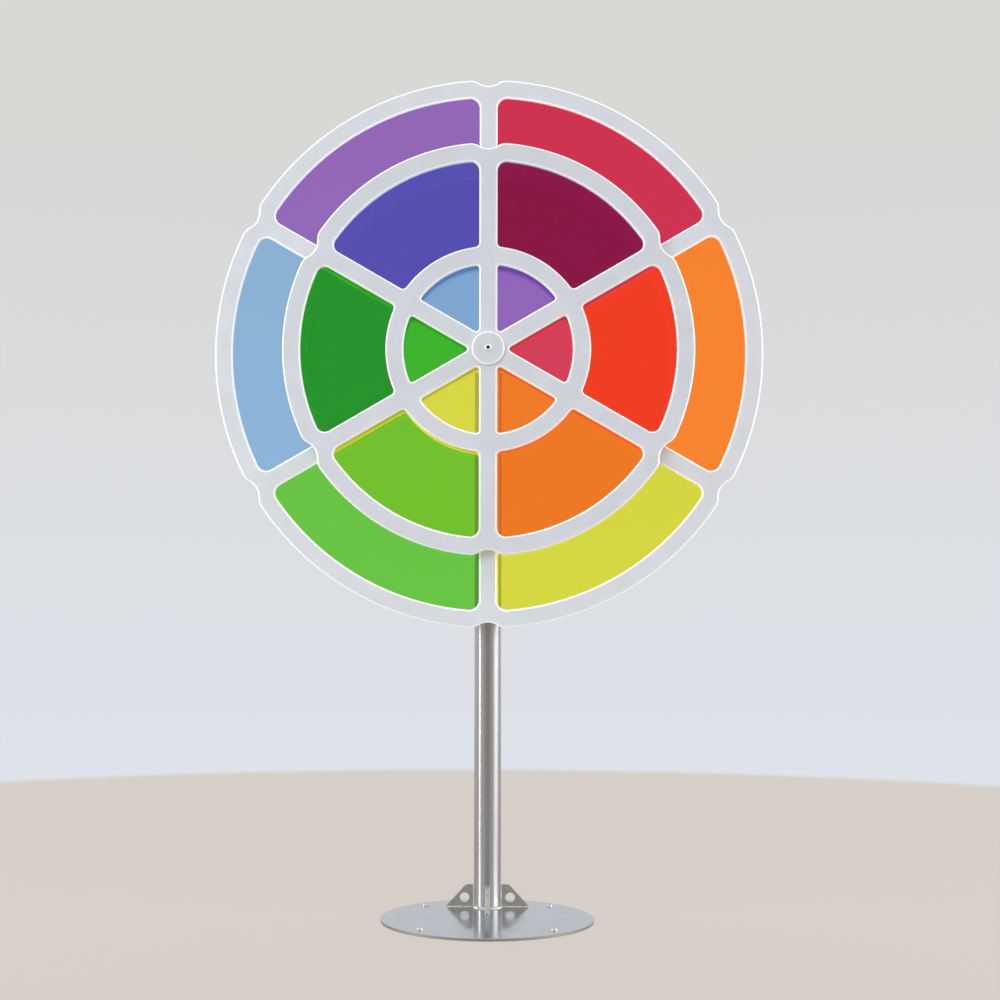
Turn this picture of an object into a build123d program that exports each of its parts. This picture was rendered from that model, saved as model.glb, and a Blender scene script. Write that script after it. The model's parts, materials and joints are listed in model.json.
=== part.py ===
"""Colour-mixing wheel: two coaxial discs of coloured panes on a floor-standing post.

Units are millimetres. The origin is the centre of the floor plate's underside, +Z is up and the
discs face -Y. Everything on the axle is drawn in a hub frame whose X is the object's X, whose Y is
up and whose Z points out of the front; "depth" there is the object's own Y, measured backwards.
"""

import math
import os

from build123d import *

# ---- floor plate -------------------------------------------------------------------------------
PLATE_DIAMETER = 385.0
PLATE_THICKNESS = 5.0
PLATE_EDGE_BREAK = 0.8
FLOOR_SCREW_CIRCLE = 330.0
FLOOR_SCREW_HOLE = 9.0
FLOOR_SCREW_COUNT = 4

# ---- post --------------------------------------------------------------------------------------
POST_DIAMETER = 50.8
POST_WALL = 2.0
POST_ABOVE_HUB = 34.0
POST_FROM_REAR_EDGE = 82.5
END_CAP_LIP = 3.0
END_CAP_PLUG = 12.0
END_CAP_CLEARANCE = 0.2

# ---- gussets, sizes measured from the post's axis and the plate's top ---------------------------
GUSSET_THICKNESS = 5.0
GUSSET_REACH = 77.5
GUSSET_HEIGHT = 42.0
GUSSET_SHOULDER = 40.5
GUSSET_SHOULDER_ROUND = 12.0
GUSSET_TOE = 1.5
GUSSET_HOLE = 18.0
GUSSET_HOLE_OUT = 42.8
GUSSET_HOLE_UP = 17.6
FOOT_WELD_LEG = 5.0
SEAM_WELD_LEG = 2.5

# ---- disc frames -------------------------------------------------------------------------------
HUB_HEIGHT = 1036.0
SPOKE_COUNT = 6
SPOKE_WIDTH = 33.0
FRONT_DISC_RADIUS = 375.5
BACK_DISC_RADIUS = 507.5
RIM_WIDTH = 33.0
INNER_RING_INSIDE = 154.0
INNER_RING_WIDTH = 33.0
DISC_GAP = 39.0
FRONT_FRAME_THICKNESS = 10.0
REAR_FRAME_THICKNESS = 5.0
FRONT_EDGE_CHAMFER = 3.0
REAR_EDGE_CHAMFER = 1.5
INNER_WINDOW_CORNER = 5.5
RING_SIDE_CORNER = 8.0
FRONT_RIM_SIDE_CORNER = 16.0
BACK_RIM_SIDE_CORNER = 18.0

# ---- finger notches at the spoke ends ------------------------------------------------------------
NOTCH_DEPTH = 10.8
NOTCH_BOWL_RADIUS = 33.0
NOTCH_SHOULDER_RADIUS = 26.0

# ---- panes -------------------------------------------------------------------------------------
PANE_THICKNESS = 4.0
PANE_LAP = 10.0
PANE_CLEARANCE = 0.4
PANE_HUB_RADIUS = 33.0
FRONT_PANE_COLOURS = ("red", "purple", "light_blue", "green", "yellow", "orange")
BACK_PANE_COLOURS = ("orange", "red", "purple", "light_blue", "green", "yellow")

# ---- frame screws, driven from the rear ----------------------------------------------------------
FRAME_SCREW_SHANK = 4.0
FRAME_SCREW_HEAD = 8.0
FRAME_SCREW_SINK = 2.2
FRAME_SCREW_LENGTH = 12.0
RIM_SCREW_COUNT = 12
RIM_SCREW_INSET = 12.0
SPOKE_SCREW_END_INSET = 24.0

# ---- axle --------------------------------------------------------------------------------------
AXLE_DIAMETER = 20.0
AXLE_PROUD = 5.0
AXLE_FIT = 0.2
COLLAR_DIAMETER = 30.0
COLLAR_WIDTH = 4.0
SADDLE_DIAMETER = 34.0
FRONT_SADDLE_WIDTH = 6.4
REAR_SADDLE_WIDTH = 6.0
AXLE_THREAD = 16.0
AXLE_END_OVERRUN = 3.0
NUT_ACROSS_FLATS = 24.0
NUT_HEIGHT = 13.0
NUT_CORNER_CUT = 2.0
NUT_CORNER_RISE = 1.1
WASHER_THICKNESS = 2.5
WASHER_DIAMETER = 30.0
THRUST_WASHER_THICKNESS = 1.5
THRUST_WASHER_DIAMETER = 34.0

# ---- hubs and flanged bushes ---------------------------------------------------------------------
HUB_INSET = 3.0
HUB_SPIGOT = 44.0
HUB_SPIGOT_CLEARANCE = 0.2
HUB_FLANGE = 68.0
HUB_FLANGE_THICKNESS = 6.0
HUB_EDGE_BREAK = 0.8
HUB_BOSS = 38.0
HUB_BOSS_LENGTH = 6.0
HUB_SCREW_CIRCLE = 56.4
HUB_SCREW_SHANK = 5.0
HUB_SCREW_HEAD = 9.5
HUB_SCREW_HEAD_HEIGHT = 2.8
HUB_SCREW_LENGTH = 13.0
BUSH_WALL = 1.5
BUSH_FLANGE_DIAMETER = 30.0
BUSH_FLANGE_THICKNESS = 1.5
BUSH_SLEEVE = 10.0
RUNNING_CLEARANCE = 0.05
END_PLAY = 0.2

# ---- hub cap and its screw -----------------------------------------------------------------------
CAP_DIAMETER = 60.0
CAP_THICKNESS = 12.0
CAP_CHAMFER = 2.5
CAP_RUNNING_GAP = 0.7
CAP_SCREW_SHANK = 8.0
CAP_SCREW_HEAD = 14.0
CAP_SCREW_HEAD_HEIGHT = 4.4
CAP_SCREW_LENGTH = 30.0
CAP_SCREW_SOCKET = 5.0
CAP_SCREW_SOCKET_DEPTH = 2.8
CAP_SCREW_CLEARANCE = 0.5
TAPPED_HOLE_EXTRA = 7.0

# ---- places that follow from the sizes above -----------------------------------------------------
POST_TOP = HUB_HEIGHT + POST_ABOVE_HUB
POST_BEHIND_CENTRE = PLATE_DIAMETER / 2 - POST_FROM_REAR_EDGE
POST_FRONT = POST_BEHIND_CENTRE - POST_DIAMETER / 2
POST_BACK = POST_BEHIND_CENTRE + POST_DIAMETER / 2

# from the post forwards: saddle, collar, thrust washer, back disc, front disc, cap
COLLAR_BACK = POST_FRONT - FRONT_SADDLE_WIDTH
COLLAR_FRONT = COLLAR_BACK - COLLAR_WIDTH
THRUST_FRONT = COLLAR_FRONT - THRUST_WASHER_THICKNESS
BACK_BUSH_END = THRUST_FRONT - END_PLAY
DISC_THICKNESS = FRONT_FRAME_THICKNESS + REAR_FRAME_THICKNESS
BACK_DISC_DEPTH = BACK_BUSH_END - BUSH_FLANGE_THICKNESS + HUB_INSET - DISC_THICKNESS
FRONT_DISC_DEPTH = BACK_DISC_DEPTH - DISC_GAP - DISC_THICKNESS
GAP_MIDDLE = BACK_DISC_DEPTH - DISC_GAP / 2
AXLE_FRONT_DEPTH = FRONT_DISC_DEPTH - AXLE_PROUD
CAP_BACK = FRONT_DISC_DEPTH - CAP_RUNNING_GAP
CAP_FRONT = CAP_BACK - CAP_THICKNESS

# from the post backwards: saddle, washer, nut
REAR_SADDLE_BACK = POST_BACK + REAR_SADDLE_WIDTH
WASHER_BACK = REAR_SADDLE_BACK + WASHER_THICKNESS
NUT_BACK = WASHER_BACK + NUT_HEIGHT

# the front disc's hub and bushes; the back disc has their mirror image
HUB_FRONT = FRONT_DISC_DEPTH + HUB_INSET
HUB_FLANGE_FRONT = FRONT_DISC_DEPTH + DISC_THICKNESS
HUB_FLANGE_BACK = HUB_FLANGE_FRONT + HUB_FLANGE_THICKNESS
HUB_BACK = HUB_FLANGE_BACK + HUB_BOSS_LENGTH
BUSH_FRONT = HUB_FRONT - BUSH_FLANGE_THICKNESS
BUSH_BACK = HUB_BACK + BUSH_FLANGE_THICKNESS

SPOKE_STEP = 360.0 / SPOKE_COUNT
INNER_RING_OUTSIDE = INNER_RING_INSIDE + INNER_RING_WIDTH
AXLE_RADIUS = AXLE_DIAMETER / 2
BUSH_OUTSIDE = AXLE_RADIUS + RUNNING_CLEARANCE + BUSH_WALL

HUB_FRAME = Plane(origin=(0, 0, HUB_HEIGHT), x_dir=(1, 0, 0), z_dir=(0, -1, 0)).location
POST_AXIS = Pos(0, POST_BEHIND_CENTRE, PLATE_THICKNESS)
GUSSET_TURNS = {"right": 0, "rear": 90, "left": 180, "front": 270}


# ---- helpers -------------------------------------------------------------------------------------
def slab(face, front, back):
    """A face of the hub frame, thickened from one depth to another."""
    return extrude(Pos(0, 0, -back) * face, back - front)


def collar(outside, inside, front, back):
    """A plain ring on the axle; the two sizes are radii."""
    return slab(Circle(outside) - Circle(inside), front, back)


def as_drawn(shape):
    """The hub pieces are drawn for the front disc, so there they stay where they are."""
    return shape


def mirrored(shape):
    """The same piece for the back disc, mirrored about the middle of the gap between the discs."""
    return mirror(shape, Plane.XY.offset(-GAP_MIDDLE))


def at_spokes(radius):
    """Places on every spoke's centre line, at one radius."""
    return PolarLocations(radius, SPOKE_COUNT, start_angle=SPOKE_STEP / 2)


def repeated(places, face):
    """One sketch that holds the face at every place."""
    return Sketch() + [place * face for place in places]


def save(name, shape):
    """Write one piece under its own name."""
    shape.label = name
    export_step(shape, f"parts/{name}.step")


def save_on_axle(name, shape):
    """Write one piece that was drawn in the hub frame."""
    save(name, HUB_FRAME * shape)


# ---- stand ---------------------------------------------------------------------------------------
def floor_plate():
    plate = extrude(Circle(PLATE_DIAMETER / 2), PLATE_THICKNESS)
    plate = chamfer(plate.edges().group_by(Axis.Z)[-1], PLATE_EDGE_BREAK)
    hole_places = PolarLocations(FLOOR_SCREW_CIRCLE / 2, FLOOR_SCREW_COUNT, start_angle=45)
    holes = repeated(hole_places, Circle(FLOOR_SCREW_HOLE / 2))
    return plate - extrude(holes, PLATE_THICKNESS)


def post():
    """A round tube, drilled across near its top for the axle."""
    length = POST_TOP - PLATE_THICKNESS
    radius = POST_DIAMETER / 2
    tube = POST_AXIS * extrude(Circle(radius) - Circle(radius - POST_WALL), length)
    across = slab(Circle((AXLE_DIAMETER + AXLE_FIT) / 2), POST_FRONT, POST_BACK)
    return tube - HUB_FRAME * across


def post_end_cap():
    """A plug with a rounded lip, pushed into the top of the tube."""
    lip = chamfer(
        extrude(Circle(POST_DIAMETER / 2), END_CAP_LIP).edges().group_by(Axis.Z)[-1],
        END_CAP_LIP / 2,
    )
    plug_radius = POST_DIAMETER / 2 - POST_WALL - END_CAP_CLEARANCE
    plug = extrude(Circle(plug_radius), -END_CAP_PLUG)
    return Pos(0, POST_BEHIND_CENTRE, POST_TOP) * (lip + plug)


def gusset_face():
    """A right-angled web with a blunt toe, a rounded shoulder and one round hole."""
    outline = Polyline(
        (0, 0),
        (GUSSET_REACH, 0),
        (GUSSET_REACH, GUSSET_TOE),
        (GUSSET_SHOULDER, GUSSET_HEIGHT),
        (0, GUSSET_HEIGHT),
        close=True,
    )
    face = make_face(outline)
    shoulder = face.vertices().sort_by_distance((GUSSET_SHOULDER, GUSSET_HEIGHT, 0))[0]
    face = fillet(shoulder, GUSSET_SHOULDER_ROUND)
    return face - Pos(GUSSET_HOLE_OUT, GUSSET_HOLE_UP) * Circle(GUSSET_HOLE / 2)


def gusset():
    """One gusset pointing along +X from the post's axis, hollowed to the tube's outside."""
    blank = extrude(Plane.XZ * gusset_face(), GUSSET_THICKNESS / 2, both=True)
    return blank - extrude(Circle(POST_DIAMETER / 2), GUSSET_HEIGHT)


def weld_section(leg):
    """The section of a fillet weld in a square corner."""
    return make_face(Polyline((0, 0), (leg, 0), (0, leg), close=True))


def gusset_welds():
    """Fillet welds along one side of a gusset: its foot on the plate and its edge on the post."""
    radius = POST_DIAMETER / 2
    side = GUSSET_THICKNESS / 2
    foot_plane = Plane(origin=(radius, side, 0), x_dir=(0, 1, 0), z_dir=(1, 0, 0))
    foot = extrude(foot_plane * weld_section(SEAM_WELD_LEG), GUSSET_REACH - radius)
    seat = math.sqrt(radius**2 - (side + SEAM_WELD_LEG) ** 2)
    leg = radius - seat + SEAM_WELD_LEG
    edge = Pos(seat, side, 0) * extrude(weld_section(leg), GUSSET_HEIGHT)
    one_side = foot + edge
    return one_side + mirror(one_side, Plane.XZ)


def weld_beads():
    """The ring at the post's foot and the seams of all four gussets, as one deposit."""
    radius = POST_DIAMETER / 2
    beads = Cone(
        radius + FOOT_WELD_LEG,
        radius,
        FOOT_WELD_LEG,
        align=(Align.CENTER, Align.CENTER, Align.MIN),
    )
    for turn in GUSSET_TURNS.values():
        beads += Rot(0, 0, turn) * gusset_welds()
    beads -= extrude(Circle(radius), GUSSET_HEIGHT)
    for turn in GUSSET_TURNS.values():
        beads -= Rot(0, 0, turn) * gusset()
    return POST_AXIS * beads


# ---- disc frames and panes -------------------------------------------------------------------------
def sector(inside, outside, bar, inner_corner, outer_corner):
    """One window between two bars, centred on +X, with its own radius at each pair of corners."""
    half_angle = math.radians(SPOKE_STEP / 2)
    apex = bar / 2 / math.sin(half_angle)
    far = 2 * outside
    spread = (far - apex) * math.tan(half_angle)
    wedge = make_face(Polyline((apex, 0), (far, spread), (far, -spread), close=True))
    face = wedge & Circle(outside)
    if inside > apex:
        face = face - Circle(inside)
    middle = (max(inside, apex) + outside) / 2
    rim_points = face.vertices().filter_by(lambda point: point.center().length > middle)
    face = fillet(rim_points, outer_corner)
    hub_points = face.vertices().filter_by(lambda point: point.center().length < middle)
    return fillet(hub_points, inner_corner)


def around(face):
    """The same window in every gap between the spokes."""
    return repeated(PolarLocations(0, SPOKE_COUNT), face)


def notched_disc(radius):
    """The disc's outline, with a finger notch at every spoke end."""
    notch_centres = at_spokes(radius - NOTCH_DEPTH + NOTCH_BOWL_RADIUS)
    face = Circle(radius) - repeated(notch_centres, Circle(NOTCH_BOWL_RADIUS))
    return fillet(face.vertices(), NOTCH_SHOULDER_RADIUS)


def inner_window():
    return sector(0, INNER_RING_INSIDE, SPOKE_WIDTH, INNER_WINDOW_CORNER, INNER_WINDOW_CORNER)


def outer_window(radius, rim_side_corner):
    return sector(
        INNER_RING_OUTSIDE, radius - RIM_WIDTH, SPOKE_WIDTH, RING_SIDE_CORNER, rim_side_corner
    )


def frame_face(radius, rim_side_corner):
    """Rim, inner ring and spokes."""
    face = notched_disc(radius)
    face -= around(inner_window())
    return face - around(outer_window(radius, rim_side_corner))


def pane_face(radius, inside, rim_side_corner, growth):
    """A pane laps behind the frame on every side; growth makes the rebate that takes it."""
    lap = PANE_LAP + growth
    return sector(
        inside - growth,
        radius - RIM_WIDTH + lap,
        SPOKE_WIDTH - 2 * lap,
        RING_SIDE_CORNER,
        rim_side_corner + lap,
    )


def screw_places(radius):
    """Frame screws in the rim between the spokes, and near both ends of each spoke."""
    rim = PolarLocations(
        radius - RIM_SCREW_INSET, RIM_SCREW_COUNT, start_angle=180 / RIM_SCREW_COUNT
    )
    near_ring = at_spokes(INNER_RING_OUTSIDE - INNER_RING_WIDTH / 2)
    near_rim = at_spokes(radius - SPOKE_SCREW_END_INSET)
    return list(rim) + list(near_ring) + list(near_rim)


def frame_screw(disc_back):
    """A countersunk screw whose head lies flush with the disc's back."""
    head = Cone(
        FRAME_SCREW_HEAD / 2,
        FRAME_SCREW_SHANK / 2,
        FRAME_SCREW_SINK,
        align=(Align.CENTER, Align.CENTER, Align.MIN),
    )
    shank = extrude(Circle(FRAME_SCREW_SHANK / 2), FRAME_SCREW_LENGTH)
    return Pos(0, 0, -disc_back) * (head + shank)


def front_frame(radius, depth, rim_side_corner, pane_inside):
    """The thick white sheet, chamfered in front and rebated behind for the panes."""
    back = depth + FRONT_FRAME_THICKNESS
    sheet = slab(frame_face(radius, rim_side_corner), depth, back)
    sheet = chamfer(sheet.faces().sort_by(Axis.Z)[-1].edges(), FRONT_EDGE_CHAMFER)
    rebate = around(pane_face(radius, pane_inside, rim_side_corner, PANE_CLEARANCE))
    return sheet - slab(rebate, back - PANE_THICKNESS, back)


def rear_frame(radius, depth, rim_side_corner):
    """The thin white sheet that holds the panes in their rebates."""
    front = depth + FRONT_FRAME_THICKNESS
    sheet = slab(frame_face(radius, rim_side_corner), front, depth + DISC_THICKNESS)
    return chamfer(sheet.faces().sort_by(Axis.Z)[0].edges(), REAR_EDGE_CHAMFER)


def pane(radius, depth, rim_side_corner, inside):
    back = depth + FRONT_FRAME_THICKNESS
    return slab(pane_face(radius, inside, rim_side_corner, 0), back - PANE_THICKNESS, back)


# ---- hubs, bushes and what the axle carries ----------------------------------------------------------
def hub_screw_places():
    return at_spokes(HUB_SCREW_CIRCLE / 2)


def hub():
    """The front disc's hub: a spigot in the frames, a flange behind them and a short boss."""
    body = collar(HUB_SPIGOT / 2, BUSH_OUTSIDE, HUB_FRONT, HUB_FLANGE_FRONT)
    flange = slab(Circle(HUB_FLANGE / 2), HUB_FLANGE_FRONT, HUB_FLANGE_BACK)
    flange = chamfer(flange.edges().group_by(Axis.Z)[0], HUB_EDGE_BREAK)
    body += flange - slab(Circle(BUSH_OUTSIDE), HUB_FLANGE_FRONT, HUB_FLANGE_BACK)
    body += collar(HUB_BOSS / 2, BUSH_OUTSIDE, HUB_FLANGE_BACK, HUB_BACK)
    holes = repeated(hub_screw_places(), Circle(HUB_SCREW_SHANK / 2))
    return body - slab(holes, HUB_FLANGE_FRONT, HUB_FLANGE_BACK)


def hub_screws():
    """Button-headed screws through the hub's flange into the frames."""
    heads = repeated(hub_screw_places(), Circle(HUB_SCREW_HEAD / 2))
    shanks = repeated(hub_screw_places(), Circle(HUB_SCREW_SHANK / 2))
    head_back = HUB_FLANGE_BACK + HUB_SCREW_HEAD_HEIGHT
    tops = slab(heads, HUB_FLANGE_BACK, head_back)
    tops = chamfer(tops.edges().group_by(Axis.Z)[0], HUB_SCREW_HEAD_HEIGHT / 2)
    return tops + slab(shanks, HUB_FLANGE_BACK - HUB_SCREW_LENGTH, HUB_FLANGE_BACK)


def hub_cavity():
    """What the hub and its screws take out of the front disc's frames."""
    spigot_radius = HUB_SPIGOT / 2 + HUB_SPIGOT_CLEARANCE
    bore = slab(Circle(spigot_radius), FRONT_DISC_DEPTH, HUB_FLANGE_FRONT)
    holes = repeated(hub_screw_places(), Circle(HUB_SCREW_SHANK / 2))
    return bore + slab(holes, HUB_FLANGE_BACK - HUB_SCREW_LENGTH, HUB_FLANGE_FRONT)


def outer_bush():
    """The flanged bush in the end of the hub that lies inside the disc."""
    bore = AXLE_RADIUS + RUNNING_CLEARANCE
    flange = collar(BUSH_FLANGE_DIAMETER / 2, bore, BUSH_FRONT, HUB_FRONT)
    return flange + collar(BUSH_OUTSIDE, bore, HUB_FRONT, HUB_FRONT + BUSH_SLEEVE)


def inner_bush():
    """The flanged bush in the end of the hub that faces the other disc."""
    bore = AXLE_RADIUS + RUNNING_CLEARANCE
    flange = collar(BUSH_FLANGE_DIAMETER / 2, bore, HUB_BACK, BUSH_BACK)
    return flange + collar(BUSH_OUTSIDE, bore, HUB_BACK - BUSH_SLEEVE, HUB_BACK)


def axle():
    """Plain in front, a collar against the front saddle, a thread for the nut behind."""
    shaft = slab(Circle(AXLE_RADIUS), AXLE_FRONT_DEPTH, REAR_SADDLE_BACK)
    shaft += slab(Circle(COLLAR_DIAMETER / 2), COLLAR_FRONT, COLLAR_BACK)
    shaft += slab(Circle(AXLE_THREAD / 2), REAR_SADDLE_BACK, NUT_BACK + AXLE_END_OVERRUN)
    tapped_to = CAP_FRONT + CAP_SCREW_LENGTH + TAPPED_HOLE_EXTRA
    return shaft - slab(Circle(CAP_SCREW_SHANK / 2), AXLE_FRONT_DEPTH, tapped_to)


def saddle(front, back):
    """A round block hollowed to sit on the tube, with a hole for the axle."""
    block = collar(SADDLE_DIAMETER / 2, (AXLE_DIAMETER + AXLE_FIT) / 2, front, back)
    tube = Plane.XZ * Pos(0, -POST_BEHIND_CENTRE) * Circle(POST_DIAMETER / 2)
    return block - extrude(tube, SADDLE_DIAMETER, both=True)


def front_saddle():
    return saddle(COLLAR_BACK, POST_BEHIND_CENTRE)


def rear_saddle():
    return saddle(POST_BEHIND_CENTRE, REAR_SADDLE_BACK)


def rear_nut():
    """A hexagon nut, its corners turned off at both ends."""
    hexagon = RegularPolygon(NUT_ACROSS_FLATS / 2, 6, major_radius=False)
    nut = slab(hexagon - Circle(AXLE_THREAD / 2), WASHER_BACK, NUT_BACK)
    corner = NUT_ACROSS_FLATS / math.sqrt(3)
    blank = slab(Circle(corner), WASHER_BACK, NUT_BACK)
    turned = chamfer(blank.edges().filter_by(GeomType.CIRCLE), NUT_CORNER_RISE, NUT_CORNER_CUT)
    return nut & turned


def hub_spacer():
    """The sleeve that keeps the two hubs apart, with a little end play at each side."""
    front = BUSH_BACK + END_PLAY
    return collar(
        BUSH_FLANGE_DIAMETER / 2,
        AXLE_RADIUS + RUNNING_CLEARANCE,
        front,
        2 * GAP_MIDDLE - front,
    )


def hub_cap():
    """The white cap on the axle's end; its short rear boss keeps the front bush in place."""
    disc = slab(Circle(CAP_DIAMETER / 2), CAP_FRONT, CAP_BACK)
    disc = chamfer(disc.edges().group_by(Axis.Z)[-1], CAP_CHAMFER)
    boss = slab(Circle(BUSH_FLANGE_DIAMETER / 2), CAP_BACK, BUSH_FRONT - END_PLAY)
    socket = slab(Circle((AXLE_DIAMETER + AXLE_FIT) / 2), AXLE_FRONT_DEPTH, BUSH_FRONT)
    screw_hole = slab(
        Circle((CAP_SCREW_SHANK + CAP_SCREW_CLEARANCE) / 2), CAP_FRONT, AXLE_FRONT_DEPTH
    )
    return disc + boss - socket - screw_hole


def cap_screw():
    """A socket button-head screw; its head is a low dome cut flat around the socket."""
    head = slab(Circle(CAP_SCREW_HEAD / 2), CAP_FRONT - CAP_SCREW_HEAD_HEIGHT, CAP_FRONT)
    head = fillet(head.edges().group_by(Axis.Z)[-1], CAP_SCREW_HEAD_HEIGHT * 0.8)
    shank = slab(Circle(CAP_SCREW_SHANK / 2), CAP_FRONT, CAP_FRONT + CAP_SCREW_LENGTH)
    key = RegularPolygon(CAP_SCREW_SOCKET / 2, 6, major_radius=False)
    top = CAP_FRONT - CAP_SCREW_HEAD_HEIGHT
    return head + shank - slab(key, top, top + CAP_SCREW_SOCKET_DEPTH)


# ---- assembly ----------------------------------------------------------------------------------------
def save_stand():
    save("floor_plate", floor_plate())
    save("post", post())
    save("post_end_cap", post_end_cap())
    for side, turn in GUSSET_TURNS.items():
        save(f"gusset_{side}", POST_AXIS * Rot(0, 0, turn) * gusset())
    save("weld_beads", weld_beads())
    save_on_axle("axle", axle())
    save_on_axle("front_saddle", front_saddle())
    save_on_axle("rear_saddle", rear_saddle())
    save_on_axle(
        "rear_washer",
        collar(WASHER_DIAMETER / 2, AXLE_THREAD / 2, REAR_SADDLE_BACK, WASHER_BACK),
    )
    save_on_axle("rear_nut", rear_nut())
    save_on_axle(
        "thrust_washer",
        collar(
            THRUST_WASHER_DIAMETER / 2,
            AXLE_RADIUS + RUNNING_CLEARANCE,
            THRUST_FRONT,
            COLLAR_FRONT,
        ),
    )
    save_on_axle("hub_spacer", hub_spacer())
    save_on_axle("hub_cap", hub_cap())
    save_on_axle("cap_screw", cap_screw())


def save_disc(name, radius, depth, rim_side_corner, pane_inside, colours, place):
    """One whole disc; place puts the shared hub pieces where the front or the back disc has them."""
    screw = frame_screw(depth + DISC_THICKNESS)
    screws = [spot * screw for spot in screw_places(radius)]
    cavity = place(hub_cavity())
    front = front_frame(radius, depth, rim_side_corner, pane_inside) - cavity - screws
    rear = rear_frame(radius, depth, rim_side_corner) - cavity - screws
    save_on_axle(f"{name}_front_frame", front)
    save_on_axle(f"{name}_rear_frame", rear)
    save_on_axle(f"{name}_frame_screws", Compound(screws))
    sheet = pane(radius, depth, rim_side_corner, pane_inside)
    for number, colour in enumerate(colours):
        save_on_axle(f"{name}_pane_{colour}", Rot(0, 0, number * SPOKE_STEP) * sheet)
    save_on_axle(f"{name}_hub", place(hub()))
    save_on_axle(f"{name}_hub_screws", place(hub_screws()))
    save_on_axle(f"{name}_outer_bush", place(outer_bush()))
    save_on_axle(f"{name}_inner_bush", place(inner_bush()))


def main():
    os.makedirs("parts", exist_ok=True)
    save_stand()
    save_disc(
        "front_disc",
        FRONT_DISC_RADIUS,
        FRONT_DISC_DEPTH,
        FRONT_RIM_SIDE_CORNER,
        PANE_HUB_RADIUS,
        FRONT_PANE_COLOURS,
        as_drawn,
    )
    save_disc(
        "back_disc",
        BACK_DISC_RADIUS,
        BACK_DISC_DEPTH,
        BACK_RIM_SIDE_CORNER,
        INNER_RING_OUTSIDE - PANE_LAP,
        BACK_PANE_COLOURS,
        mirrored,
    )


main()
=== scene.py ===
# %% [markdown]
# # A colour-mixing wheel on a floor stand
# Two white-framed discs of transparent coloured panes sit one behind the other on a fixed axle.
# The axle crosses a stainless tube that is welded to a round floor plate. A hand in one of the
# notches turns a disc, and where two panes overlap their colours multiply, as filters do.
#
# The engineering model is loaded first as a fixed frame. Its solids already have the real shapes,
# so this lesson lights them, gives every one the finish of its real material, and adds the small
# fasteners and weld ripples that are easier to lay out with Geometry Nodes.

# %% The frame
import json
import math

import bpy
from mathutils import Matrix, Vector


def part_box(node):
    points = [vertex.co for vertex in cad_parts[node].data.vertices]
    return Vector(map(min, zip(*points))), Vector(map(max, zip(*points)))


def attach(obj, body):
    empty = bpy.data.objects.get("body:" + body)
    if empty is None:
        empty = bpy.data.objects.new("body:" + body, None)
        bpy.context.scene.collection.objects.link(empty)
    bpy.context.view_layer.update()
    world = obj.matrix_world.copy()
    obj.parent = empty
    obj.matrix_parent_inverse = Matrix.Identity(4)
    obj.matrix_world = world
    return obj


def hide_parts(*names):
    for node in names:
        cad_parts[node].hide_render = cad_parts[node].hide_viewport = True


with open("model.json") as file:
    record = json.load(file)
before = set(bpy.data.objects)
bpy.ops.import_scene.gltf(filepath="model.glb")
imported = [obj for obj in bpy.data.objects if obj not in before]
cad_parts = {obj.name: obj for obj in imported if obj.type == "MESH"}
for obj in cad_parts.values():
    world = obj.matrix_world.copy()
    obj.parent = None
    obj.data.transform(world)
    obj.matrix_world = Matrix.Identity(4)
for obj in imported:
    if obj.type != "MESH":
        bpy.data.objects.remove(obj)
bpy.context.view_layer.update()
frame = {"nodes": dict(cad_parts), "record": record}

# %% [markdown]
# ## Camera
# The picture was taken from hip height, very nearly square to the discs, and kept the post
# upright. A level camera with its lens shifted up does the same. It turns a degree to the left,
# which is why the discs' right edge looks a touch larger than the left one.

# %% Camera
scene = bpy.context.scene
lens = bpy.data.cameras.new("eye_level_lens")
lens.lens = 56.29
lens.sensor_width = 36.0
lens.shift_x = 0.035
lens.shift_y = 0.1259
camera = bpy.data.objects.new("camera", lens)
camera.location = (0.0119, -2.833, 0.533)
camera.rotation_euler = (math.radians(90), math.radians(-0.104), math.radians(1.07))
scene.collection.objects.link(camera)
scene.camera = camera
scene.view_settings.view_transform = "Standard"
print("camera at", tuple(round(v, 3) for v in camera.location))

# %% [markdown]
# ## Colours and nodes
# Colours are given as sRGB hex values, but a shader works with linear light, so one
# function turns one into the other. A second small function adds a node with its settings and
# links, which keeps each material short enough to read as a recipe. Sums, smooth steps and blends
# of two colours come up in most recipes, so each of these has a name too.

# %% Helpers for colours and nodes
def linear(hex_code):
    """An sRGB hex colour as linear red, green, blue and alpha."""
    parts = [int(hex_code[i:i + 2], 16) / 255 for i in (1, 3, 5)]
    return [c / 12.92 if c <= 0.04045 else ((c + 0.055) / 1.055) ** 2.4 for c in parts] + [1.0]


def add(tree, kind, settings=None, **inputs):
    """Adds a node; each input is a value or another node's output socket."""
    node = tree.nodes.new(kind)
    for name, value in (settings or {}).items():
        setattr(node, name, value)
    for name, value in inputs.items():
        key = int(name[3:]) if name.startswith("in_") else name.replace("_", " ")
        socket = node.inputs[key]
        if isinstance(value, bpy.types.NodeSocket):
            tree.links.new(value, socket)
        else:
            socket.default_value = value
    return node


def empty_tree(owner, output_kind):
    """A clean node tree on a material or world, and its output node."""
    owner.use_nodes = True
    owner.node_tree.nodes.clear()
    return owner.node_tree, owner.node_tree.nodes.new(output_kind)


def calculate(tree, operation, first, second=0.0):
    """One sum on numbers or sockets."""
    return add(tree, "ShaderNodeMath", {"operation": operation}, in_0=first,
               in_1=second).outputs[0]


def step(tree, value, start, end, low=0.0, high=1.0):
    """A smooth step from low to high as the value goes from start to end."""
    return add(tree, "ShaderNodeMapRange", {"interpolation_type": "SMOOTHSTEP"}, Value=value,
               From_Min=start, From_Max=end, To_Min=low, To_Max=high).outputs["Result"]


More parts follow.
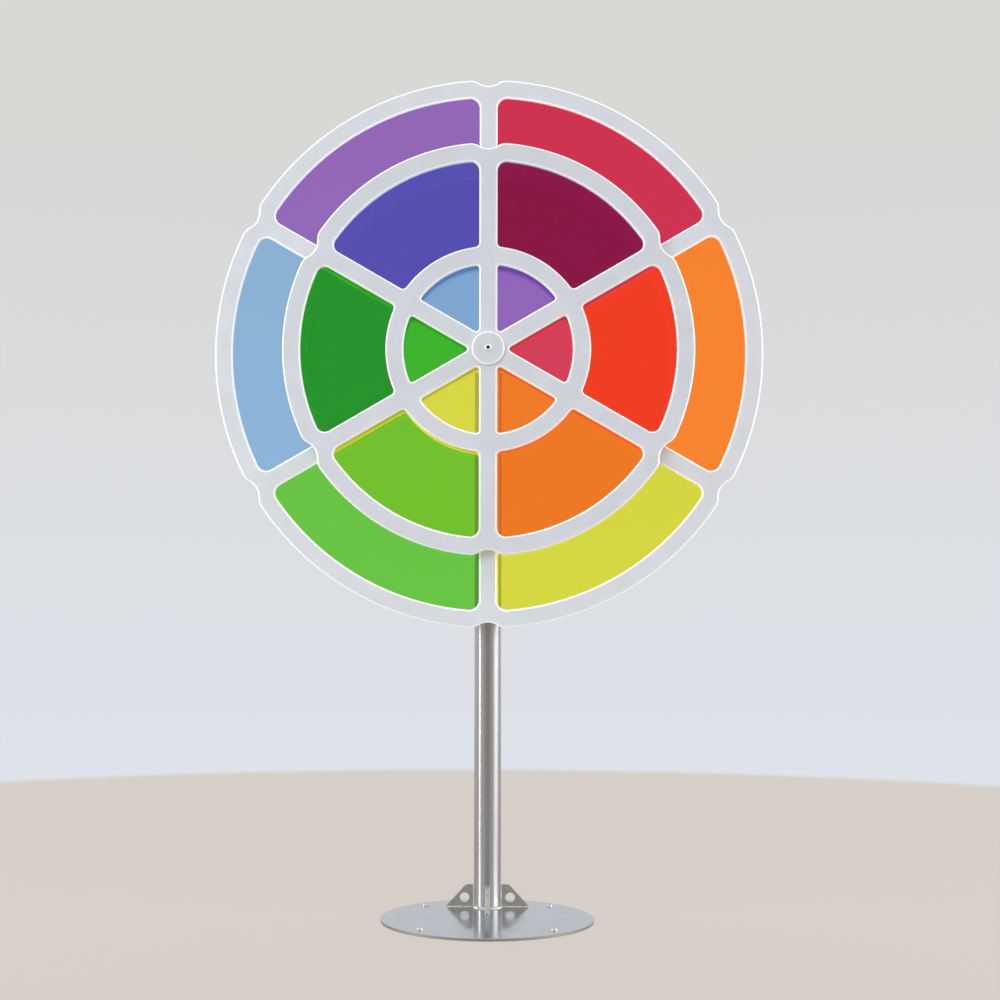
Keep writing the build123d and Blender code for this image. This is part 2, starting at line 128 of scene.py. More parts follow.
def blend(tree, share, first, second):
    """One colour where the share is 0, the other where it is 1."""
    return add(tree, "ShaderNodeMixRGB", Fac=share, Color1=first, Color2=second).outputs[0]


print("mid grey in linear light:", round(linear("#808080")[0], 3))

# %% [markdown]
# ## Room light and backdrop
# A plain pale room surrounds the stand. The world does two jobs. For what the eye sees directly,
# in metal or through a pane, it is the wall: a soft grey that turns a little bluer lower down.
# For light on surfaces it is a glow, stronger from above and from the bright wall than from
# below, so that edges which face down look a little darker, and lamps give the rest.
# Polished tube also shows the darker side of the room behind the eye, so a dark patch is
# there for mirror reflections only, wide below the height of the eye and narrow above it.

# %% World
WALL_LOW, WALL_HIGH = "#DEE2EA", "#D8D8D5"
DARK_SIDE = "#362C25"

world = bpy.data.worlds.new("pale_room")
scene.world = world
tree, output = empty_tree(world, "ShaderNodeOutputWorld")
direction = add(tree, "ShaderNodeTexCoord").outputs["Generated"]
parts = add(tree, "ShaderNodeSeparateXYZ", in_0=direction).outputs
rays = add(tree, "ShaderNodeLightPath").outputs

wall = add(tree, "ShaderNodeValToRGB",
           Fac=add(tree, "ShaderNodeMapRange", Value=parts["Z"], From_Min=-0.10,
                   From_Max=0.30).outputs["Result"])
wall.color_ramp.elements[0].color = linear(WALL_LOW)
wall.color_ramp.elements[1].color = linear(WALL_HIGH)
heading = add(tree, "ShaderNodeCombineXYZ", X=parts["X"], Y=parts["Y"]).outputs[0]
heading = add(tree, "ShaderNodeVectorMath", {"operation": "NORMALIZE"}, in_0=heading).outputs[0]
forward = add(tree, "ShaderNodeSeparateXYZ", in_0=heading).outputs["Y"]
wide_part = calculate(tree, "MULTIPLY", step(tree, forward, -0.68, -0.80),
                      step(tree, parts["Z"], 0.10, 0.00))
upper_part = calculate(tree, "MULTIPLY", step(tree, forward, -0.90, -0.97, 0.0, 0.9),
                       step(tree, parts["Z"], 0.45, 0.35))
behind_eye = calculate(tree, "MAXIMUM", wide_part, upper_part)
in_mirror = calculate(tree, "MULTIPLY", behind_eye,
                      calculate(tree, "MINIMUM", rays["Glossy Depth"], 1.0))
seen = blend(tree, in_mirror, wall.outputs["Color"], linear(DARK_SIDE))
backdrop = add(tree, "ShaderNodeBackground", Color=seen, Strength=1.0)
from_above = step(tree, parts["Z"], -0.3, 0.3, 0.20, 0.62)
from_wall = step(tree, parts["Y"], 0.0, 0.8, 0.0, 0.25)
glow = add(tree, "ShaderNodeBackground", Color=linear("#FFFFFF"),
           Strength=calculate(tree, "ADD", from_above, from_wall))
seen_directly = calculate(tree, "MAXIMUM", rays["Is Camera Ray"],
                          calculate(tree, "MAXIMUM", rays["Is Glossy Ray"],
                                    rays["Is Transmission Ray"]))
mixed = add(tree, "ShaderNodeMixShader", Fac=seen_directly, in_1=glow.outputs[0],
            in_2=backdrop.outputs[0])
tree.links.new(mixed.outputs[0], output.inputs["Surface"])
print(world.name, len(tree.nodes), "nodes")

# %% [markdown]
# ## Floor
# The floor is a plain pale disc, matt and slightly warm, that catches the stand's soft shadow.
# It ends three metres out, and its rim fades so that no hard edge shows. In polished steel, and
# for the light it sends back up, it is darker than it looks to the eye. The three pairs say how
# much of a steady colour is mixed in: where it is looked at, where it is mirrored, and where it
# lights other things.

# %% Floor
FLOOR_RADIUS, FLOOR_FADE, FLOOR_CORNERS = 3.05, 0.18, 96
LOOKED_AT, MIRRORED, SENT_UP = (0.5, "#E1D8D0"), (0.7, "#8C8179"), (0.8, "#857E78")


def around_axis(radius, count, start_degrees):
    """Evenly spaced places on a circle, as pairs."""
    turns = [math.radians(start_degrees + 360 * k / count) for k in range(count)]
    return [(radius * math.cos(a), radius * math.sin(a)) for a in turns]


floor_mesh = bpy.data.meshes.new("floor")
corners = [(x, y, 0) for x, y in around_axis(FLOOR_RADIUS, FLOOR_CORNERS, 0)]
floor_mesh.from_pydata(corners, [], [list(range(FLOOR_CORNERS))])
floor = bpy.data.objects.new("floor", floor_mesh)
scene.collection.objects.link(floor)

floor_finish = bpy.data.materials.new("floor_matt_lacquered")
tree, output = empty_tree(floor_finish, "ShaderNodeOutputMaterial")
place = add(tree, "ShaderNodeTexCoord").outputs["Object"]
distance = add(tree, "ShaderNodeVectorMath", {"operation": "LENGTH"}, in_0=place).outputs["Value"]
surface = add(tree, "ShaderNodeBsdfPrincipled", Base_Color=linear("#EEE6DE"), Roughness=0.6)
rays = add(tree, "ShaderNodeLightPath").outputs
looked_at = calculate(tree, "MAXIMUM", rays["Is Camera Ray"], rays["Is Transmission Ray"])
mirrored = calculate(tree, "MAXIMUM", calculate(tree, "SUBTRACT", rays["Is Glossy Ray"],
                                                rays["Is Transmission Ray"]))
for seen_by, (share, colour) in ((looked_at, LOOKED_AT), (mirrored, MIRRORED),
                                 (rays["Is Diffuse Ray"], SENT_UP)):
    steady = add(tree, "ShaderNodeEmission", Color=linear(colour), Strength=1.0)
    surface = add(tree, "ShaderNodeMixShader", Fac=calculate(tree, "MULTIPLY", seen_by, share),
                  in_1=surface.outputs[0], in_2=steady.outputs[0])
surface = add(tree, "ShaderNodeMixShader", in_1=surface.outputs[0],
              Fac=step(tree, distance, FLOOR_RADIUS - FLOOR_FADE, FLOOR_RADIUS),
              in_2=add(tree, "ShaderNodeBsdfTransparent").outputs[0])
tree.links.new(surface.outputs[0], output.inputs["Surface"])
floor_mesh.materials.append(floor_finish)
print("floor radius", FLOOR_RADIUS)

# %% [markdown]
# ## Lamps
# Four large soft lamps stand in for windows and ceiling light. The key is in front, a little
# above the hub, so that the front disc shades the one behind it only a little. It is tilted down,
# which leaves the top of the discs a touch darker than their foot. A weak ceiling lamp brightens
# the edges that face up. A narrow lamp on the left and a wide one on the right draw
# the two bright lines down the round tube, as a softbox does in a studio. These three stand so
# low that they would burn bright patches into the floor beside them, so they light the stand and
# not the floor.

# %% Lamps
def soft_lamp(name, place, aim, width, height, watts):
    """A rectangular area lamp that shines towards a point."""
    data = bpy.data.lights.new(name, "AREA")
    data.shape = "RECTANGLE"
    data.size, data.size_y, data.energy = width, height, watts
    lamp = bpy.data.objects.new(name, data)
    lamp.location = place
    lamp.rotation_euler = (Vector(aim) - Vector(place)).to_track_quat("-Z", "Y").to_euler()
    lamp.visible_camera = False
    lamp.visible_transmission = False
    scene.collection.objects.link(lamp)
    return lamp


key = soft_lamp("key", (-0.8, -3.6, 1.2), (0, 0, -1.1), 2.6, 1.2, 83)
ceiling = soft_lamp("ceiling", (-0.3, -1.0, 3.4), (0, 0, 0), 3.0, 3.0, 8)
key.visible_glossy = ceiling.visible_glossy = False
left = soft_lamp("left", (-2.42, -0.68, 0.9), (0, 0.11, 0.8), 0.42, 2.4, 15)
right = soft_lamp("right", (2.64, -0.42, 0.9), (0, 0.11, 0.8), 2.0, 2.4, 26)

all_but_floor = bpy.data.collections.new("all_but_the_floor")
all_but_floor.objects.link(floor)
all_but_floor.collection_objects[0].light_linking.link_state = "EXCLUDE"
for lamp in (key, left, right):
    lamp.light_linking.receiver_collection = all_but_floor

# %% [markdown]
# ## Material recipes
# Every finish starts from one shader, whose steady values are set straight on its sockets:
# colour, roughness, metal or not. Grain and wear come from noise in object coordinates, measured
# in metres, so a scale of 1000 is about a millimetre.

# %% A shared start for every finish
def finish(name, colour, roughness, metal=0.0, **steady):
    """A material with one shader, ready for grain to be linked in."""
    material = bpy.data.materials.new(name)
    tree, output = empty_tree(material, "ShaderNodeOutputMaterial")
    shader = add(tree, "ShaderNodeBsdfPrincipled", Base_Color=linear(colour),
                 Roughness=roughness, Metallic=metal, **steady)
    tree.links.new(shader.outputs[0], output.inputs["Surface"])
    return material, tree, shader


def grain(tree, size_mm, stretch=(1, 1, 1), detail=3.0):
    """Noise whose blobs are about size_mm wide, longer along any axis with a stretch over 1."""
    place = add(tree, "ShaderNodeTexCoord").outputs["Object"]
    scaled = add(tree, "ShaderNodeMapping", in_0=place,
                 Scale=[1.0 / s for s in stretch]).outputs[0]
    return add(tree, "ShaderNodeTexNoise", Vector=scaled, Scale=1000.0 / size_mm,
               Detail=detail).outputs["Fac"]


def spread(tree, value, low, high, start=0.3, end=0.7):
    """Maps noise to a narrow range of values."""
    return add(tree, "ShaderNodeMapRange", Value=value, From_Min=start, From_Max=end,
               To_Min=low, To_Max=high).outputs["Result"]


def bump(tree, shader, height, depth_mm, strength=0.4):
    """Feeds a height pattern to the shader's normal."""
    node = add(tree, "ShaderNodeBump", Height=height, Strength=strength,
               Distance=depth_mm / 1000)
    tree.links.new(node.outputs[0], shader.inputs["Normal"])


finishes = {}

# %% [markdown]
# ## Routed polyethylene sheet
# The frames are cut from solid white polyethylene sheet. Its faces come from the press with a
# fine orange-peel grain and look a soft grey-white. The router leaves every cut edge and chamfer
# smooth and clean, so the edges read as bright white lines round each window.
#
# The sheet is slightly milky right through, so some light passes into it. Every face also gets a
# painted glow, an emission that stands in for light soaking through the sheet. The glow is
# strongest on the faces pressed against a pane, so that they stay pale instead of black. It is
# stronger on the disc nearer the bright wall, and that disc's base colour is darker to make up for
# it.

# %% Routed polyethylene sheet
FLAT = 0.95
CUT_COLOUR, CUT_ROUGHNESS, PRESSED_ROUGHNESS = "#FCFDFD", 0.34, 0.50
CLOUD_MM, PEEL_MM = 60, 0.9
PAINTED_GLOW_AGAINST_PANE = 0.5


def milky_sheet_with_painted_glow(name, dull, bright, painted_glow, hidden_side=0):
    """White sheet with a painted glow, stronger on the faces towards hidden_side, against a pane.
    """
    material, tree, shader = finish("polyethylene_sheet_painted_glow_" + name, bright, 0.45, IOR=1.51,
                                    Subsurface_Weight=0.35, Subsurface_Radius=(1.0, 1.0, 1.0),
                                    Subsurface_Scale=0.004)
    facing = add(tree, "ShaderNodeSeparateXYZ",
                 in_0=add(tree, "ShaderNodeTexCoord").outputs["Normal"]).outputs["Y"]
    is_cut = calculate(tree, "LESS_THAN", calculate(tree, "ABSOLUTE", facing), FLAT)
    cloud = grain(tree, CLOUD_MM, detail=2.0)
    pressed = blend(tree, spread(tree, cloud, 0, 1), linear(dull), linear(bright))
    colour = blend(tree, is_cut, pressed, linear(CUT_COLOUR))
    tree.links.new(colour, shader.inputs["Base Color"])
    tree.links.new(spread(tree, is_cut, PRESSED_ROUGHNESS, CUT_ROUGHNESS, 0, 1),
                   shader.inputs["Roughness"])
    bump(tree, shader, grain(tree, PEEL_MM, detail=2.0), 0.06, 0.5)
    # Painted glow: a white emission stands in for light soaked into the sheet.
    shader.inputs["Emission Color"].default_value = linear("#FFFFFF")
    if hidden_side:
        towards = calculate(tree, "MULTIPLY", facing, hidden_side)
        tree.links.new(spread(tree, towards, painted_glow, PAINTED_GLOW_AGAINST_PANE, FLAT - 0.01, FLAT + 0.01),
                       shader.inputs["Emission Strength"])
    else:
        shader.inputs["Emission Strength"].default_value = painted_glow
    return material


# The far disc's sheet has a darker base colour and a stronger painted glow, standing in for light
# from the wall behind it.
NEAR_COLOURS_AND_PAINTED_GLOW, FAR_COLOURS_AND_PAINTED_GLOW = ("#C0C4CB", "#C7CBD2", 0.08), ("#B4B9C1", "#BCC1C9", 0.20)
finishes["white_sheet"] = milky_sheet_with_painted_glow("plain", *NEAR_COLOURS_AND_PAINTED_GLOW)
SHEETS = {
    "front_disc_front_frame": milky_sheet_with_painted_glow("near_disc_front", *NEAR_COLOURS_AND_PAINTED_GLOW, hidden_side=1),
    "front_disc_rear_frame": milky_sheet_with_painted_glow("near_disc_rear", *NEAR_COLOURS_AND_PAINTED_GLOW, hidden_side=-1),
    "back_disc_front_frame": milky_sheet_with_painted_glow("far_disc_front", *FAR_COLOURS_AND_PAINTED_GLOW, hidden_side=1),
    "back_disc_rear_frame": milky_sheet_with_painted_glow("far_disc_rear", *FAR_COLOURS_AND_PAINTED_GLOW, hidden_side=-1),
}
print(len(SHEETS) + 1, "kinds of sheet")

# %% [markdown]
# ## Cast acrylic panes
# Each pane is a flat plate of cast acrylic, dyed through, with polished faces. Light crosses two
# faces on its way through, and the shader tints each one by half, so the colour written here is
# the colour of the whole pane. A real pane throws coloured light, not a black shadow: for shadow
# rays the material is a plain tinted filter. Each disc has its own set of tints, and the back
# disc's are a little lighter than the front's.
#
# Some panes also get a fixed painted glow, an emission that stands in for light sent back by their
# dyes. The orange gets the most, so it looks brighter than the wall behind it. On the front disc
# the red and the yellow get a faint one, which keeps a deep overlap from turning black.

# %% Cast acrylic panes
PANE_COLOURS = {
    "front_disc": {"purple": "#AE7BDF", "red": "#FA0764", "orange": "#F98016",
                   "yellow": "#FFFF42", "green": "#4CD736", "light_blue": "#9AC8F9"},
    "back_disc": {"purple": "#B27FE1", "red": "#FA3E62", "orange": "#FB8715",
                  "yellow": "#FFFE4D", "green": "#7EE84F", "light_blue": "#AAD6FF"},
}
PAINTED_PANE_GLOW = {
    "front_disc": {"red": (0.016, 0.043, 0.008), "orange": (0.125, 0.036, 0.014),
                   "yellow": (0.016, 0.005, 0.018)},
    "back_disc": {"orange": (0.150, 0.045, 0.020)},
}
PANES = {}
for disc, tints in PANE_COLOURS.items():
    for name, code in tints.items():
        acrylic, tree, shader = finish(f"acrylic_cast_{name}_{disc}", code, 0.02, IOR=1.49,
                                       Transmission_Weight=1.0)
        haze = grain(tree, 40, detail=2.0)
        tree.links.new(spread(tree, haze, 0.01, 0.04), shader.inputs["Roughness"])
        # Painted glow: a fixed emission on these panes stands in for light sent back by the dye.
        if name in PAINTED_PANE_GLOW[disc]:
            shader.inputs["Emission Color"].default_value = [*PAINTED_PANE_GLOW[disc][name], 1.0]
            shader.inputs["Emission Strength"].default_value = 1.0
        one_face = [math.sqrt(c) for c in linear(code)[:3]] + [1.0]
        filter_only = add(tree, "ShaderNodeBsdfTransparent", Color=one_face)
        is_shadow = add(tree, "ShaderNodeLightPath").outputs["Is Shadow Ray"]
        both = add(tree, "ShaderNodeMixShader", Fac=is_shadow, in_1=shader.outputs[0],
                   in_2=filter_only.outputs[0])
        tree.links.new(both.outputs[0], tree.nodes["Material Output"].inputs["Surface"])
        PANES[f"{disc}_pane_{name}"] = acrylic
print(len(PANES), "panes")

# %% [markdown]
# ## Stainless tube
# The post is stainless tube, polished with a belt that runs round it. The fine rings are far too
# small to see one by one, but they stretch every reflection along the tube, so the lamps show as
# long bright lines. Here the rings are drawn about ten times coarser than real so that they show.

# %% Polished stainless tube
tube, tree, shader = finish("stainless_tube_belt_polished", "#D6D5D6", 0.34, metal=1.0,
                            Anisotropic=1.0, Anisotropic_Rotation=0.25)
rings = grain(tree, 3, stretch=(30, 30, 1), detail=4.0)
tree.links.new(spread(tree, rings, 0.30, 0.38), shader.inputs["Roughness"])
finishes["tube_steel"] = tube
print(tube.name)

# %% [markdown]
# ## Satin floor plate
# The floor plate is cold-rolled stainless sheet with a bright satin face, close to a mirror at a
# low angle. A slight grain runs across it from the rolling mill, and feet and mops dull it in
# soft patches. Its rim was cut by laser, which leaves it browner and dull.

# %% Satin floor plate
plate, tree, shader = finish("stainless_sheet_bright_rolled", "#C4CBD6", 0.14, metal=1.0)
rolled = grain(tree, 0.8, stretch=(60, 1, 1), detail=3.0)
dulled = grain(tree, 45, detail=4.0)
worn = spread(tree, dulled, 0.10, 0.20, 0.35, 0.65)
upright = add(tree, "ShaderNodeSeparateXYZ",
              in_0=add(tree, "ShaderNodeTexCoord").outputs["Normal"]).outputs["Z"]
on_edge = calculate(tree, "LESS_THAN", upright, 0.5)
tree.links.new(blend(tree, on_edge, linear("#C4CBD6"), linear("#D9CDC8")),
               shader.inputs["Base Color"])
dull_edge = add(tree, "ShaderNodeMix", in_0=on_edge, in_2=worn, in_3=0.42)
tree.links.new(dull_edge.outputs[0], shader.inputs["Roughness"])
bump(tree, shader, rolled, 0.01, 0.15)
finishes["plate_steel"] = plate
print(plate.name)

# %% [markdown]
# ## Dull cut gussets
# The four gussets are laser-cut plate, left as rolled and wiped after welding. They are darker
# and less shiny than the plate they stand on, with a mottled stain from the weld's heat.

# %% Gussets
gusset, tree, shader = finish("stainless_plate_mill_finish", "#CBC6BF", 0.42, metal=0.8)
mottle = grain(tree, 9, detail=5.0)
tree.links.new(blend(tree, spread(tree, mottle, 0, 1, 0.35, 0.7), linear("#D8D4CE"),
                     linear("#BDB6AD")), shader.inputs["Base Color"])
tree.links.new(spread(tree, mottle, 0.36, 0.50), shader.inputs["Roughness"])
bump(tree, shader, grain(tree, 0.7), 0.02, 0.3)
finishes["gusset_steel"] = gusset
print(gusset.name)

# %% [markdown]
# ## Weld metal
# A hand-fed weld freezes in small overlapping crescents. Freshly brushed stainless weld is bright,
# with straw tones where it cooled last.

# %% Weld metal
weld, tree, shader = finish("stainless_weld_brushed", "#D6D2CC", 0.28, metal=1.0)
heat = grain(tree, 6, detail=3.0)
tree.links.new(blend(tree, spread(tree, heat, 0, 1), linear("#F0F0F2"), linear("#D8D2C8")),
               shader.inputs["Base Color"])
tree.links.new(spread(tree, heat, 0.22, 0.38), shader.inputs["Roughness"])
bump(tree, shader, grain(tree, 0.6), 0.03, 0.4)
finishes["weld_metal"] = weld
print(weld.name)

# %% [markdown]
# ## Turned stainless and turned alloy
# The axle and washers are turned stainless bar, and the hubs, spacer and saddles are turned
# aluminium. The tool leaves a fine spiral, which shows as faint rings on a flat end and along a
# shaft. All of these share the wheel's axis, so one ring pattern, centred on the axle, serves both.

# %% Turned metals
cap_low, cap_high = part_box("hub_cap")
axle_height = (cap_low[2] + cap_high[2]) / 2


def turned(name, colour, roughness, ring_mm, slot):
    """Metal with lathe rings about the wheel's axle, which runs along Y."""
    material, tree, shader = finish(name, colour, roughness, metal=1.0)
    place = add(tree, "ShaderNodeTexCoord").outputs["Object"]
    centred = add(tree, "ShaderNodeMapping", in_0=place, Location=(0, 0, -axle_height)).outputs[0]
    parts = add(tree, "ShaderNodeSeparateXYZ", in_0=centred)
    across = add(tree, "ShaderNodeCombineXYZ", X=parts.outputs["X"], Z=parts.outputs["Z"])
    radius = add(tree, "ShaderNodeVectorMath", {"operation": "LENGTH"},
                 in_0=across.outputs[0]).outputs["Value"]
    both_ways = calculate(tree, "ADD", radius, parts.outputs["Y"])
    phase = calculate(tree, "MULTIPLY", both_ways, 2 * math.pi * 1000 / ring_mm)
    bump(tree, shader, calculate(tree, "SINE", phase), 0.01, 0.3)
    cloud = grain(tree, 12)
    tree.links.new(spread(tree, cloud, roughness - 0.05, roughness + 0.08),
                   shader.inputs["Roughness"])
    finishes[slot] = material
    print(material.name, "ring spacing", ring_mm, "mm")


turned("stainless_bar_turned", "#C4C1BC", 0.25, 0.5, "turned_steel")
turned("aluminium_turned", "#D3D4D6", 0.30, 0.6, "turned_alloy")

# %% [markdown]
# ## Small fasteners, bushes and the end cap
# Stainless screws are headed cold and tumbled, which leaves them bright with tiny dents. The
# dents catch light from every side, so the shader treats part of the surface as matt. The screw
# in the middle of the hub is polished brighter, and its socket is painted dark brown in its
# colour, as painted shade in the recess. The bushes are cream bearing polymer with a waxy look.
# The post's end cap is black moulded plastic with a fine spark-eroded texture.

# %% Screws, bushes and end cap
screws, tree, shader = finish("stainless_screws_tumbled", "#E2E1DE", 0.3, metal=0.8)
dents = grain(tree, 1.5)
tree.links.new(spread(tree, dents, 0.22, 0.40), shader.inputs["Roughness"])
bump(tree, shader, dents, 0.03, 0.3)
finishes["bright_screws"] = screws

PAINTED_SOCKET_SHADE_RADIUS = 0.0030
axle_screw, tree, shader = finish("stainless_screw_polished_with_painted_socket_shade", "#FAFAFA", 0.35,
                                  metal=0.4)
place = add(tree, "ShaderNodeTexCoord").outputs["Object"]
across = add(tree, "ShaderNodeVectorMath", {"operation": "MULTIPLY"}, in_0=place,
             in_1=(1, 0, 1)).outputs[0]
from_axis = add(tree, "ShaderNodeVectorMath", {"operation": "DISTANCE"}, in_0=across,
                in_1=(0, 0, axle_height)).outputs["Value"]
# Painted shade: inside this radius the base colour is dark brown, standing in for the shade in the
# socket.
outside = calculate(tree, "GREATER_THAN", from_axis, PAINTED_SOCKET_SHADE_RADIUS)
tree.links.new(blend(tree, outside, linear("#3A322C"), linear("#FAFAFA")),
               shader.inputs["Base Color"])
dents = grain(tree, 1.5)
tree.links.new(spread(tree, dents, 0.28, 0.42), shader.inputs["Roughness"])
bump(tree, shader, dents, 0.02, 0.2)

bush, tree, shader = finish("bearing_polymer_moulded", "#E4DCC6", 0.42, IOR=1.5)
waxy = grain(tree, 5)
tree.links.new(blend(tree, spread(tree, waxy, 0, 1), linear("#E6DFCB"), linear("#DCD2B8")),
               shader.inputs["Base Color"])
bump(tree, shader, waxy, 0.02, 0.2)
finishes["bush_polymer"] = bush

cap, tree, shader = finish("polyethylene_cap_moulded", "#26272A", 0.5, IOR=1.51)
spark = grain(tree, 0.5)
tree.links.new(spread(tree, spark, 0.42, 0.60), shader.inputs["Roughness"])
bump(tree, shader, spark, 0.05, 0.4)
finishes["dark_plastic"] = cap
print(len(finishes), "finishes")

# %% [markdown]
# ## Dressing the frame
# The record says which material each solid is made of, and a few solids have a finish of their
# own. Each solid gets its finish in its own material slots, and its mesh is left alone.

# %% Give every solid its finish
slot_of = {part["node"]: part["material_slot"] for part in frame["record"]["subparts"]}
BY_NODE = {**SHEETS, **PANES, "cap_screw": axle_screw}
for node, solid in frame["nodes"].items():
    material = BY_NODE.get(node) or finishes[slot_of[node]]
    for place in solid.material_slots:
        place.material = material
    if not solid.material_slots:
        solid.data.materials.append(material)
print("dressed", len(frame["nodes"]), "solids")

# %% [markdown]
# ## Screw heads
# A socket head is a body of revolution with a hexagon sunk in it. It is made by stacking rings of
# 24 points and skinning neighbours: round rings for the head, hexagonal ones for the socket. The
# head's flat seat is at the origin and its dome points along +Z.

# %% One screw head from rings
RING_POINTS = 24


def ring(radius, height, sides=0):
    """A ring of points; with sides it is a polygon of that distance across its corners / 2."""
    points = []
    for i in range(RING_POINTS):
        angle = 2 * math.pi * i / RING_POINTS
        reach = radius
        if sides:
            half = math.pi / sides
            reach = radius * math.cos(half) / math.cos((angle % (2 * half)) - half)
        points.append((reach * math.cos(angle), reach * math.sin(angle), height))
    return points


def skin(name, rings):
    """A closed mesh through the rings, with a fan on its first and last."""
    mesh = bpy.data.meshes.new(name)
    points = [p for one in rings for p in one]
    faces = []
    for level in range(len(rings) - 1):
        for i in range(RING_POINTS):
            j = (i + 1) % RING_POINTS
            a, b = level * RING_POINTS, (level + 1) * RING_POINTS
            faces.append((a + i, a + j, b + j, b + i))
    faces.append(tuple(reversed(range(RING_POINTS))))
    last = (len(rings) - 1) * RING_POINTS
    faces.append(tuple(range(last, last + RING_POINTS)))
    mesh.from_pydata(points, [], faces)
    mesh.update()
    return bpy.data.objects.new(name, mesh)


def button_head(name, head, height, socket, shank, below):
    """A domed head with a hexagon socket, on a short plain shank; sizes in metres."""
    r, s = head / 2, socket / math.sqrt(3)
    rings = [ring(shank / 2, -below), ring(shank / 2, 0), ring(r - 0.0003, 0),
             ring(r, 0.0003), ring(r * 0.985, height * 0.30), ring(r * 0.90, height * 0.62),
             ring(r * 0.76, height * 0.84), ring(r * 0.58, height * 0.97),
             ring(s * 1.22, height), ring(s * 1.06, height), ring(s, height * 0.97, 6),
             ring(s, height * 0.42, 6), ring(s * 0.3, height * 0.34)]
    return skin(name, rings)


def countersunk_head(name, head, sink, socket, shank, below):
    """A flat head whose top is at the origin, with a cone and shank below it."""
    r, s = head / 2, socket / math.sqrt(3)
    rings = [ring(shank / 2, -below), ring(shank / 2, -sink), ring(r, -0.0001),
             ring(r - 0.0001, 0), ring(s * 1.08, 0), ring(s, -0.0001, 6),
             ring(s, -sink * 0.75, 6), ring(s * 0.3, -sink * 0.85)]
    return skin(name, rings)


print("points in a ring:", RING_POINTS)

# %% [markdown]
# ## Screws set out by Geometry Nodes
# The same screw sits at many places, so each set is a handful of points and one node tree that
# puts a screw on every point. The tree has named inputs: the screw, the way its head faces, a
# seed, and the metal. Real screws stop at whatever angle they were tightened to, so each one
# turns by a random amount.

# %% The tree that places screws
def tree_with_inputs(name, inputs):
    """A Geometry Nodes tree with a mesh in, a mesh out and named inputs."""
    group = bpy.data.node_groups.new(name, "GeometryNodeTree")
    group.interface.new_socket("Geometry", in_out="INPUT", socket_type="NodeSocketGeometry")
    group.interface.new_socket("Geometry", in_out="OUTPUT", socket_type="NodeSocketGeometry")
    for label, kind in inputs.items():
        group.interface.new_socket(label, in_out="INPUT", socket_type="NodeSocket" + kind)
    return group, group.nodes.new("NodeGroupInput").outputs, group.nodes.new("NodeGroupOutput")


def end_tree(group, made, given, result):
    """Real faces in the given metal are what the tree hands on."""
    real = add(group, "GeometryNodeRealizeInstances", in_0=made)
    dressed = add(group, "GeometryNodeSetMaterial", Geometry=real.outputs[0],
                  Material=given["Metal"])
    group.links.new(dressed.outputs[0], result.inputs[0])


screw_tree, given, result = tree_with_inputs(
    "screws_on_points",
    {"Screw": "Object", "Facing": "Rotation", "Seed": "Int", "Metal": "Material"})
screw = add(screw_tree, "GeometryNodeObjectInfo", Object=given["Screw"], As_Instance=True)
placed = add(screw_tree, "GeometryNodeInstanceOnPoints", Points=given["Geometry"],
             Instance=screw.outputs["Geometry"], Rotation=given["Facing"])
turn = add(screw_tree, "FunctionNodeRandomValue", {"data_type": "FLOAT"}, Seed=given["Seed"])
turn.inputs[3].default_value = 2 * math.pi
spin = add(screw_tree, "ShaderNodeCombineXYZ", Z=turn.outputs[1])
spun = add(screw_tree, "GeometryNodeRotateInstances", Instances=placed.outputs[0],
           Rotation=spin.outputs[0])
end_tree(screw_tree, spun.outputs[0], given, result)
print(screw_tree.name, "inputs:", [s.name for s in screw_tree.interface.items_tree][2:])

# %% Run a tree and keep a plain mesh
SHARP_DEGREES = 35


def grown(name, group, mesh, values):
    """Runs a tree on a mesh and returns the result as an object with an ordinary mesh."""
    seed_object = bpy.data.objects.new(name + "_places", mesh)
    scene.collection.objects.link(seed_object)
    modifier = seed_object.modifiers.new(name, "NODES")
    modifier.node_group = group
    for item in group.interface.items_tree:
        if item.in_out == "INPUT" and item.name in values:
            modifier[item.identifier] = values[item.name]
    seen_by = bpy.context.evaluated_depsgraph_get()
    plain = bpy.data.meshes.new_from_object(seed_object.evaluated_get(seen_by))
    seed_object.modifiers.clear()
    bpy.data.objects.remove(seed_object)
    plain.name = name
    piece = bpy.data.objects.new(name, plain)
    scene.collection.objects.link(piece)
    print(name, len(plain.polygons), "faces")
    return piece


def points_mesh(name, points):
    mesh = bpy.data.meshes.new(name)
    mesh.from_pydata(points, [], [])
    return mesh


def smooth_below(piece, degrees):
    """Smooth shading that keeps edges sharper than an angle."""
    piece.data.shade_smooth()
    piece.data.set_sharp_from_angle(angle=math.radians(degrees))


# %% [markdown]
# ## Floor screws
# Four M8 button-head screws hold the plate to the floor, in holes 165 mm from its centre. They
# belong to the place where the stand is put up, so the plate's solid keeps open holes and the
# screws are drawn here.

# %% Floor screws
plate_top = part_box("floor_plate")[1][2]
floor_screw = button_head("floor_screw_shape", head=0.014, height=0.0044, socket=0.005,
                          shank=0.008, below=plate_top)
places = [(x, y, plate_top) for x, y in around_axis(0.165, 4, 45)]
floor_screws = grown("floor_screws", screw_tree, points_mesh("floor_screw_places", places),
                     {"Screw": floor_screw, "Seed": 3, "Metal": finishes["bright_screws"]})
smooth_below(floor_screws, SHARP_DEGREES)
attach(floor_screws, "stand")

# %% [markdown]
# ## Frame screws and hub screws
# From behind, each frame is held together by countersunk screws in three circles, and each hub
# by six button heads on its flange. The two hubs face each other across the gap between the
# discs, so the screws of the front disc point backwards and those of the back disc forwards.

